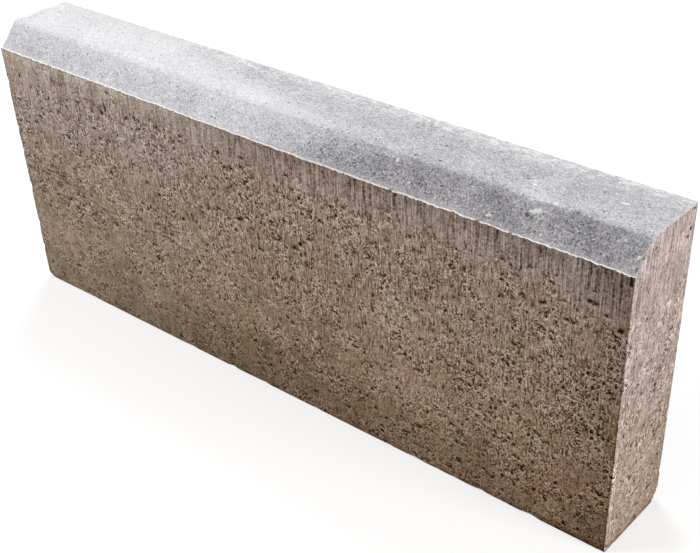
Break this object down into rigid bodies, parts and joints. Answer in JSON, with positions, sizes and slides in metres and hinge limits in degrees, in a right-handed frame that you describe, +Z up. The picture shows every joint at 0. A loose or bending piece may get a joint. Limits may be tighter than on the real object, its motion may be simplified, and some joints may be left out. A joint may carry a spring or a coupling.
{
  "type": "concrete kerb stone",
  "caption": "Straight precast concrete kerb stone, a slim upright block with a chamfer along one top edge, worn arrises and a pitted, drag-marked face.",
  "frame": {"origin": "middle of the flat underside", "axes": "+X along the kerb, +Y from the exposed chamfered front face to the back face, +Z up"},
  "size_m": [0.5, 0.06, 0.2],
  "materials": {
    "concrete": "matt dry-pressed concrete: warm grey-brown sides with upright drag marks and pits, finer bluish-grey top and chamfer"
  },
  "bodies": {
    "root": {"kerb_stone": "concrete"}
  },
  "joints": []
}
